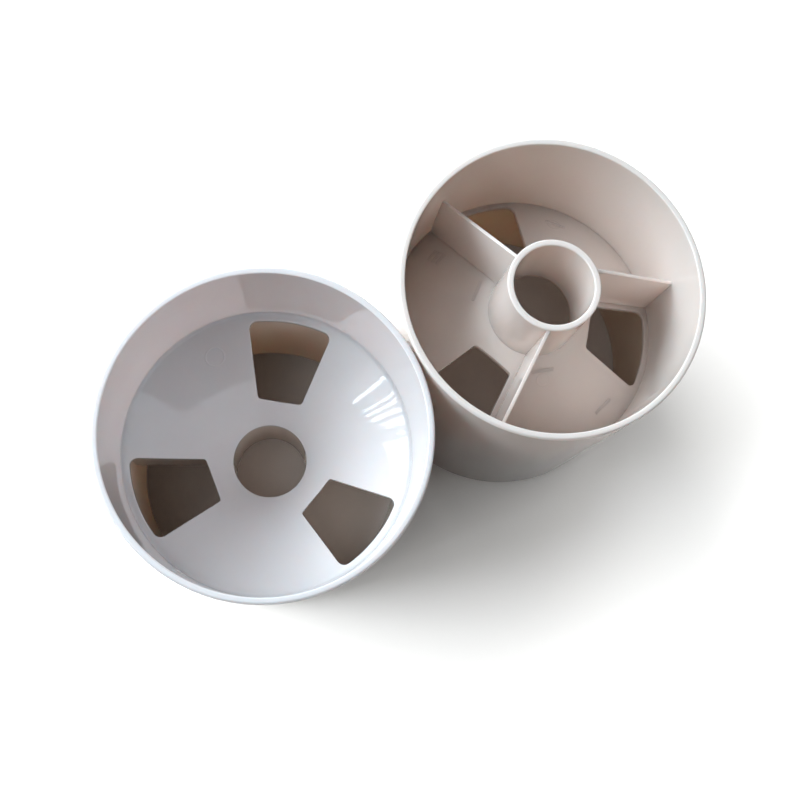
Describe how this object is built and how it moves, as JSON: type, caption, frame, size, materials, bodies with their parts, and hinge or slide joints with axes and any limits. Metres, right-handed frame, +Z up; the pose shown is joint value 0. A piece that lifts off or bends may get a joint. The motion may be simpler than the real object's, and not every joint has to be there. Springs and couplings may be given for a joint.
{
  "type": "golf hole cup pair",
  "caption": "Tapered plastic golf hole cups side by side, upright and inverted, each with a funnel floor, flagstick tube, bracing ribs and drain windows.",
  "frame": {"origin": "on the ground, midway between the two cups' axes", "axes": "+X from the upright cup to the inverted cup, +Z up"},
  "size_m": [0.2154, 0.108, 0.102],
  "materials": {
    "cup_plastic": "glossy white injection-moulded plastic"
  },
  "bodies": {
    "upright_cup": {"upright_sleeve": "cup_plastic", "upright_funnel_floor": "cup_plastic", "upright_flagstick_tube": "cup_plastic", "upright_ejector_pads": "cup_plastic", "upright_rib_1": "cup_plastic", "upright_rib_2": "cup_plastic", "upright_rib_3": "cup_plastic"},
    "inverted_cup": {"inverted_sleeve": "cup_plastic", "inverted_funnel_floor": "cup_plastic", "inverted_flagstick_tube": "cup_plastic", "inverted_ejector_pads": "cup_plastic", "inverted_rib_1": "cup_plastic", "inverted_rib_2": "cup_plastic", "inverted_rib_3": "cup_plastic"}
  },
  "joints": [
    {"name": "inverted_cup_lift", "type": "slide", "parent": "upright_cup", "child": "inverted_cup", "axis": [0.0499, 0, 0.9988], "range_m": [0, 0.13]}
  ]
}
